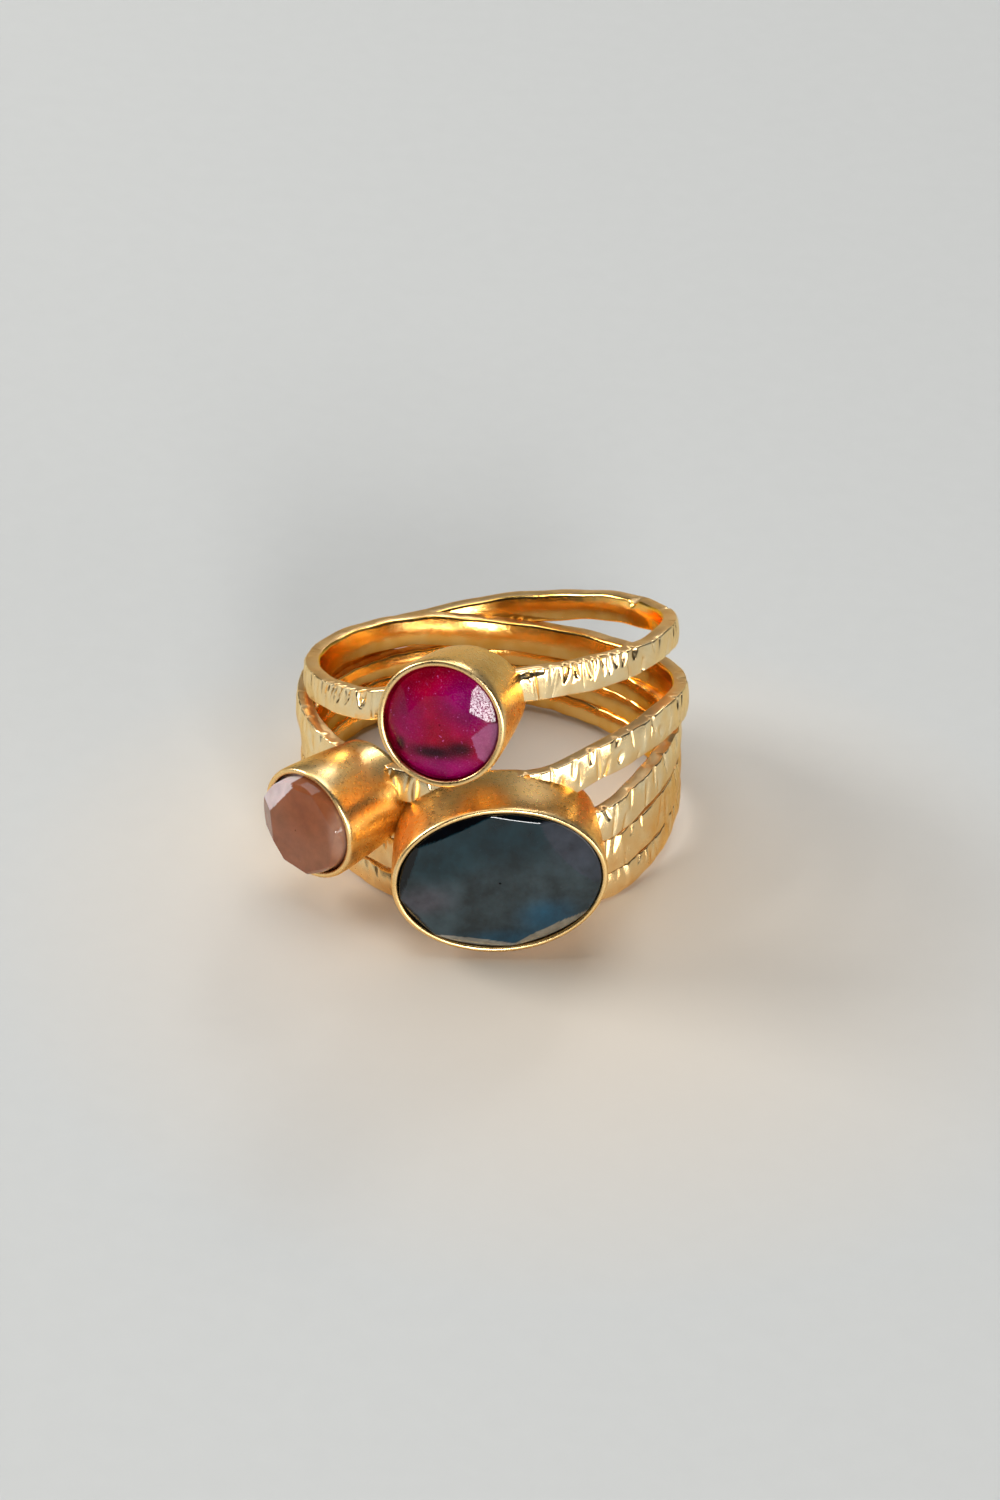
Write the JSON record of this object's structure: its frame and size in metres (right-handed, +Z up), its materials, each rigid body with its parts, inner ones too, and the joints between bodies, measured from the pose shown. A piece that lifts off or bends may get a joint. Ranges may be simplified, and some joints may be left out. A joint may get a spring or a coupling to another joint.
{
  "type": "stackable ring",
  "caption": "Wide finger ring of hammered gold-coloured strands that fan out and cross, with round and oval faceted stones in bezel cups at the front.",
  "frame": {"origin": "middle of the ring's outline on the surface it lies on", "axes": "+Z up, out of the side of the finger hole that faces up; +Y away from the stones, across the finger hole; +X to the viewer's right when looking at the stones"},
  "size_m": [0.0216, 0.0252, 0.0153],
  "materials": {
    "gold_metal": "polished",
    "red_stone": "gloss",
    "peach_stone": "gloss",
    "blue_stone": "gloss"
  },
  "bodies": {
    "root": {"gold_band": "gold_metal", "red_stone": "red_stone", "peach_stone": "peach_stone", "blue_stone": "blue_stone"}
  },
  "joints": []
}
